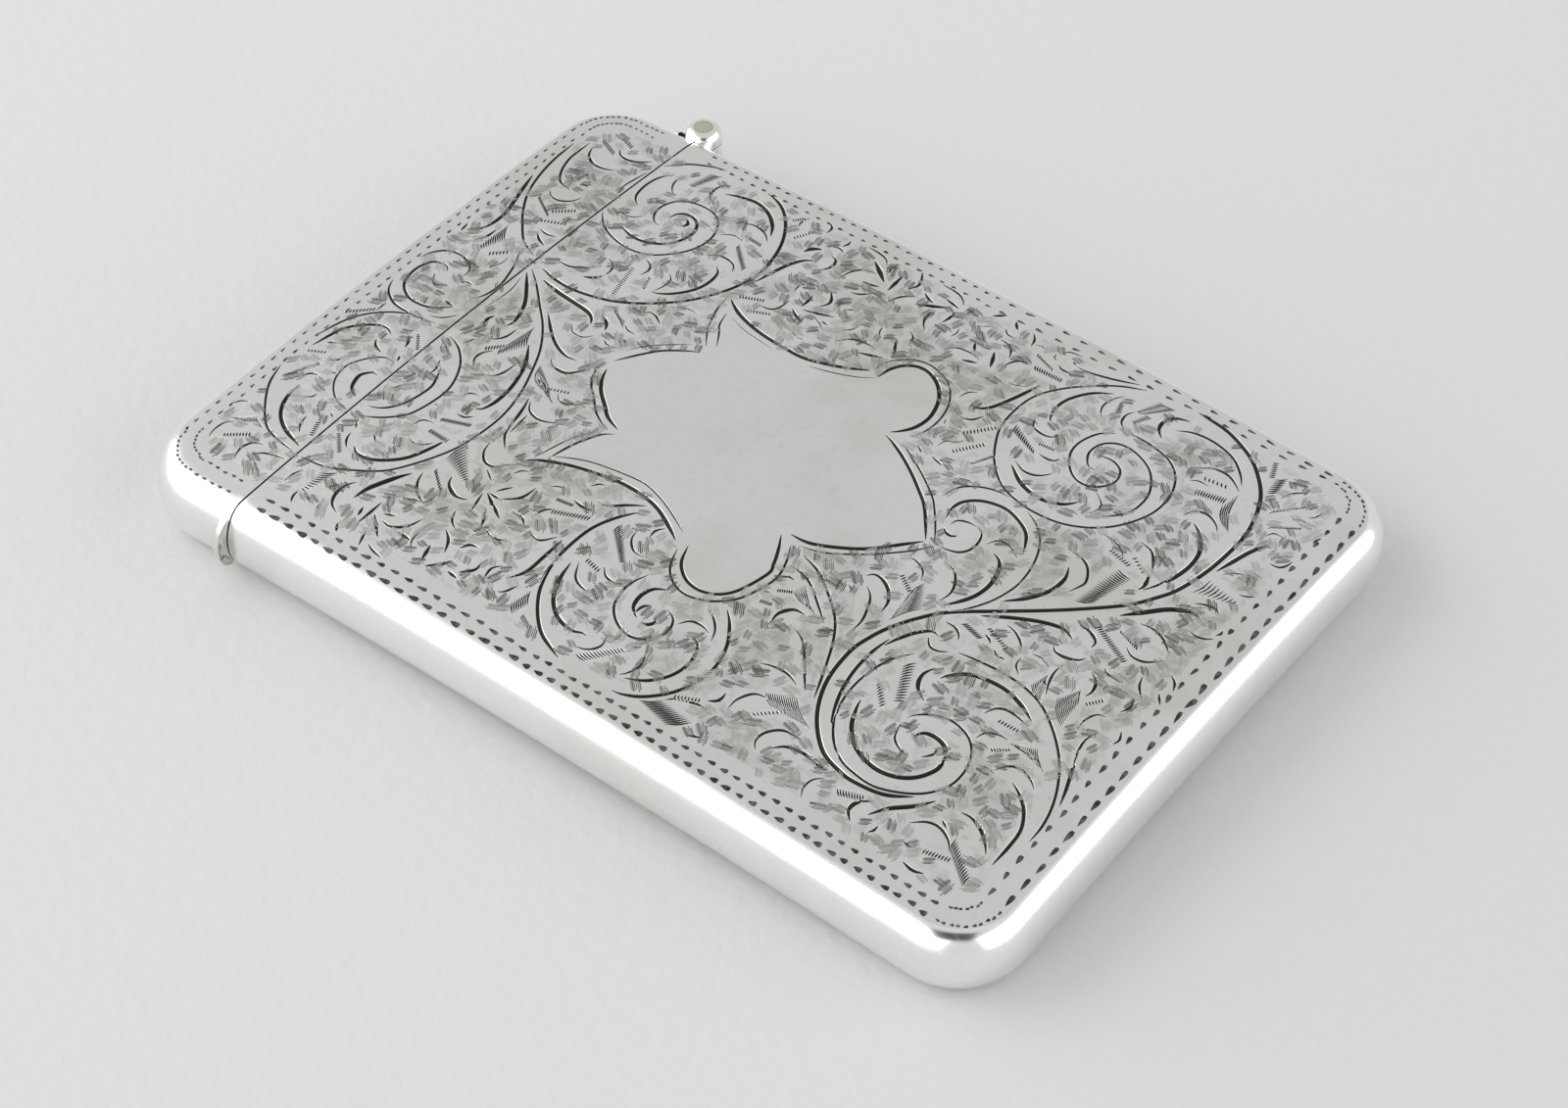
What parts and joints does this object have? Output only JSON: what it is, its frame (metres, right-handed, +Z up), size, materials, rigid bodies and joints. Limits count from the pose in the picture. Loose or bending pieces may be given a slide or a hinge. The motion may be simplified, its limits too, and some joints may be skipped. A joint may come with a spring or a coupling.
{
  "type": "business card case",
  "caption": "Slim curved silver case for visiting cards, with an end lid on a side hinge, a thumb-piece, rounded sides and engraved scrollwork round a plain cartouche.",
  "frame": {"origin": "middle of the case's outer box, on the surface that it lies on, lid closed, engraved front up", "axes": "+X along the case away from the lid, +Y across the case towards the hinge, +Z up out of the engraved front"},
  "size_m": [0.082, 0.0622, 0.0081],
  "materials": {
    "engraved_silver": "soft polished sterling silver, hand engraved, with dark cuts",
    "polished_silver": "polished sterling silver with fine wear",
    "inner_silver": "dull unpolished sterling silver",
    "pin_metal": "filed pin end, slightly yellow"
  },
  "bodies": {
    "body": {"body_front_shell": "engraved_silver", "body_back_shell": "polished_silver", "body_rim": "inner_silver", "body_knuckle": "polished_silver", "body_hinge_leaf": "polished_silver"},
    "lid": {"lid_front_shell": "engraved_silver", "lid_back_shell": "polished_silver", "lid_knuckle_top": "polished_silver", "lid_knuckle_bottom": "polished_silver", "hinge_pin": "pin_metal", "lid_hinge_leaf": "polished_silver", "thumb_piece": "polished_silver"}
  },
  "joints": [
    {"name": "lid_hinge", "type": "hinge", "parent": "body", "child": "lid", "pos_m": [-0.03005, 0.0294, 0.00373], "axis": [0, 0, -1], "range_deg": [0, 105]}
  ]
}
